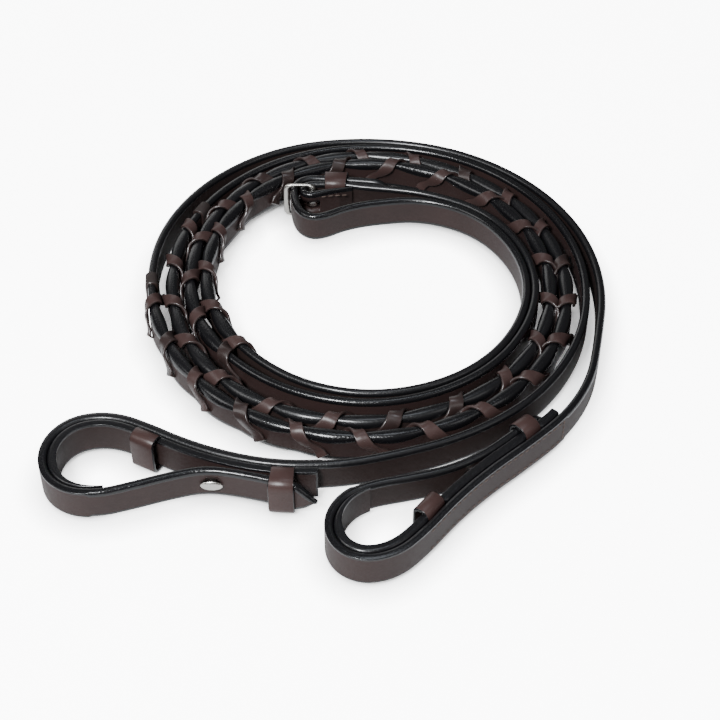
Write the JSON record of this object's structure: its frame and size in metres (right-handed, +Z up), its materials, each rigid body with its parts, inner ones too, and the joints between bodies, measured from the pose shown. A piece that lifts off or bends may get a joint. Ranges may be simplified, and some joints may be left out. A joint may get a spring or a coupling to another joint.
{
  "type": "leather reins",
  "caption": "Pair of laced leather riding reins with a centre buckle and hook-stud bit ends, coiled on edge; used to steer a horse from the saddle.",
  "frame": {"origin": "under the middle of the whole coil, on the surface that its keepers stand on", "axes": "+Z up, across the width of the straps; +Y to the back, towards the centre buckle; +X to the right, away from the pointed half's bit ring"},
  "size_m": [0.2124, 0.238, 0.0172],
  "materials": {
    "strap_leather": "smooth dark brown bridle leather with dyed black edges",
    "lining_leather": "smooth dark brown, edges dyed with the strap's",
    "keeper_leather": "smooth thin brown leather",
    "lace_leather": "thin flat brown thong, a little lighter than the strap",
    "thread": "waxed brown linen thread",
    "nickel": "satin nickel"
  },
  "bodies": {
    "reins": {"pointed_half_strap": "strap_leather", "buckle_half_strap": "strap_leather", "centre_keeper": "keeper_leather", "chape_stitching": "thread", "pointed_half_liner": "lining_leather", "pointed_half_ring_keeper": "keeper_leather", "pointed_half_point_keeper": "keeper_leather", "pointed_half_hook_stud": "nickel", "pointed_half_lacing": "lace_leather", "pointed_half_lace_band": "lace_leather", "pointed_half_bit_stitching": "thread", "buckle_half_liner": "lining_leather", "buckle_half_ring_keeper": "keeper_leather", "buckle_half_point_keeper": "keeper_leather", "buckle_half_hook_stud": "nickel", "buckle_half_lacing": "lace_leather", "buckle_half_lace_band": "lace_leather", "buckle_half_bit_stitching": "thread"},
    "buckle_frame": {"buckle_frame": "nickel"},
    "buckle_tongue": {"buckle_tongue": "nickel"}
  },
  "joints": [
    {"name": "frame_swing", "type": "hinge", "parent": "reins", "child": "buckle_frame", "pos_m": [-0.0116, 0.083, 0.0086], "axis": [0, 0, 1], "range_deg": [-4, 4]},
    {"name": "tongue_lift", "type": "hinge", "parent": "buckle_frame", "child": "buckle_tongue", "pos_m": [-0.0116, 0.083, 0.0086], "axis": [0, 0, -1], "range_deg": [0, 6]}
  ]
}
